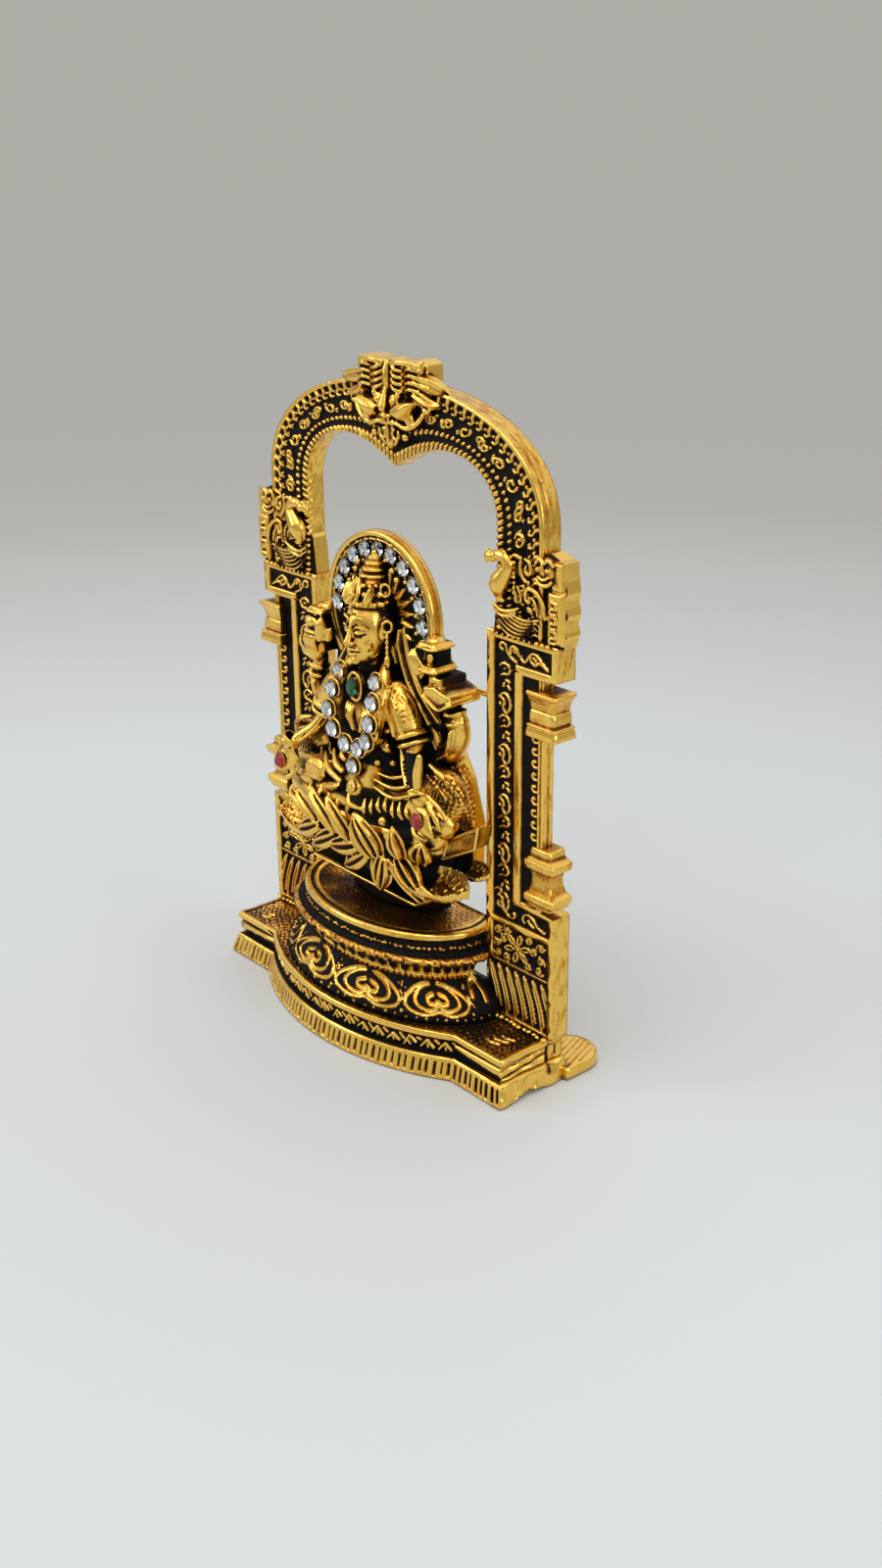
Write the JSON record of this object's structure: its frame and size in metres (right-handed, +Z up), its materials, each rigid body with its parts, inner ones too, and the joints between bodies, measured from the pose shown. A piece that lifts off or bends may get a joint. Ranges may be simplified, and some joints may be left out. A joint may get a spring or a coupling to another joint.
{
  "type": "lakshmi figure with arch frame and plinth",
  "caption": "Small gilt cast idol of a seated four-armed goddess on a lotus, with stone-set halo, inside a carved arch with peacocks and a lion-face crest, on a bow-fronted plinth.",
  "frame": {"origin": "underside of the plinth, in the middle of its width, right below the front face of the arch", "axes": "+Z up, +X to the viewer's right, -Y towards the viewer who faces the goddess"},
  "size_m": [0.062, 0.026, 0.0904],
  "materials": {
    "gilt_casting": "antique gold plating on cast white metal, dark in the recesses and bright on the edges",
    "clear_stone": "cut clear glass with a bright foil back",
    "green_stone": "cut dark green glass",
    "red_stone": "cut red glass"
  },
  "bodies": {
    "root": {"plinth": "gilt_casting", "arch_frame": "gilt_casting", "goddess": "gilt_casting", "halo_stone_1": "clear_stone", "halo_stone_2": "clear_stone", "halo_stone_3": "clear_stone", "halo_stone_4": "clear_stone", "halo_stone_5": "clear_stone", "halo_stone_6": "clear_stone", "halo_stone_7": "clear_stone", "halo_stone_8": "clear_stone", "halo_stone_9": "clear_stone", "halo_stone_10": "clear_stone", "halo_stone_11": "clear_stone", "necklace_stone_1": "clear_stone", "necklace_stone_2": "clear_stone", "necklace_stone_3": "clear_stone", "necklace_stone_4": "clear_stone", "necklace_stone_5": "clear_stone", "necklace_stone_6": "clear_stone", "necklace_stone_7": "clear_stone", "necklace_stone_8": "clear_stone", "necklace_stone_9": "clear_stone", "necklace_stone_10": "clear_stone", "pendant_stone": "clear_stone", "throat_stone": "green_stone", "palm_stone_right": "red_stone", "palm_stone_left": "red_stone"}
  },
  "joints": []
}
